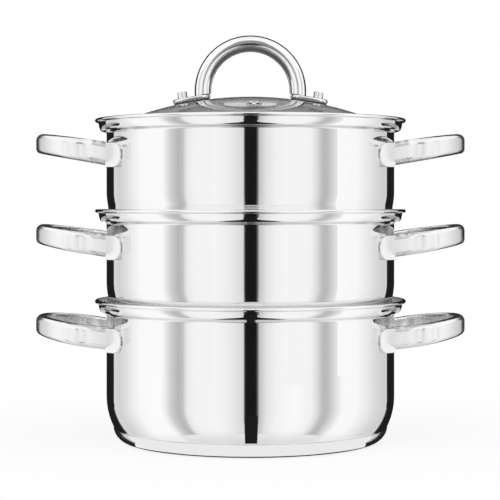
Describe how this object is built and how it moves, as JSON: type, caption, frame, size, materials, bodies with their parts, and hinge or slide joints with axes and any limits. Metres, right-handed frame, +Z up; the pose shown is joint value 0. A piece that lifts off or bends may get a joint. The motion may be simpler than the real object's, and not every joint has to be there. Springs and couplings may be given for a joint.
{
  "type": "steamer pot",
  "caption": "Stackable stainless steamer pot: base pot, nesting steamer tiers with loop side handles, domed glass lid with an arched tube handle.",
  "frame": {"origin": "middle of the base's underside, on the surface that the pot stands on", "axes": "+Z up, the side handles along X, the front with the lid's vent towards -Y"},
  "size_m": [0.36, 0.261, 0.341],
  "materials": {
    "vessel_steel": "mirror polished stainless steel",
    "handle_steel": "mirror polished stainless steel",
    "base_steel": "polished stainless steel cap, fine turned finish below",
    "core_aluminium": "plain rolled aluminium",
    "lid_glass": "clear tempered glass",
    "lid_steel": "polished stainless steel",
    "silicone": "dark matt silicone"
  },
  "bodies": {
    "pot": {"pot_body": "vessel_steel", "base_core_disc": "core_aluminium", "base_cap": "base_steel", "pot_handle_left": "handle_steel", "pot_handle_right": "handle_steel"},
    "lower_steamer": {"lower_steamer_body": "vessel_steel", "lower_steamer_handle_left": "handle_steel", "lower_steamer_handle_right": "handle_steel"},
    "upper_steamer": {"upper_steamer_body": "vessel_steel", "upper_steamer_handle_left": "handle_steel", "upper_steamer_handle_right": "handle_steel"},
    "lid": {"lid_glass": "lid_glass", "lid_rim_band": "lid_steel", "lid_vent_grommet": "lid_steel", "lid_handle_arch": "handle_steel", "lid_handle_foot_left": "handle_steel", "lid_foot_gasket_left": "silicone", "lid_inner_gasket_left": "silicone", "lid_screw_left": "lid_steel", "lid_washer_left": "lid_steel", "lid_cap_nut_left": "lid_steel", "lid_handle_foot_right": "handle_steel", "lid_foot_gasket_right": "silicone", "lid_inner_gasket_right": "silicone", "lid_screw_right": "lid_steel", "lid_washer_right": "lid_steel", "lid_cap_nut_right": "lid_steel"}
  },
  "joints": [
    {"name": "lower_steamer_lift", "type": "slide", "parent": "pot", "child": "lower_steamer", "axis": [0, 0, 1], "range_m": [0, 0.06]},
    {"name": "upper_steamer_lift", "type": "slide", "parent": "lower_steamer", "child": "upper_steamer", "axis": [0, 0, 1], "range_m": [0, 0.06]},
    {"name": "lid_lift", "type": "slide", "parent": "upper_steamer", "child": "lid", "axis": [0, 0, 1], "range_m": [0, 0.06]}
  ]
}
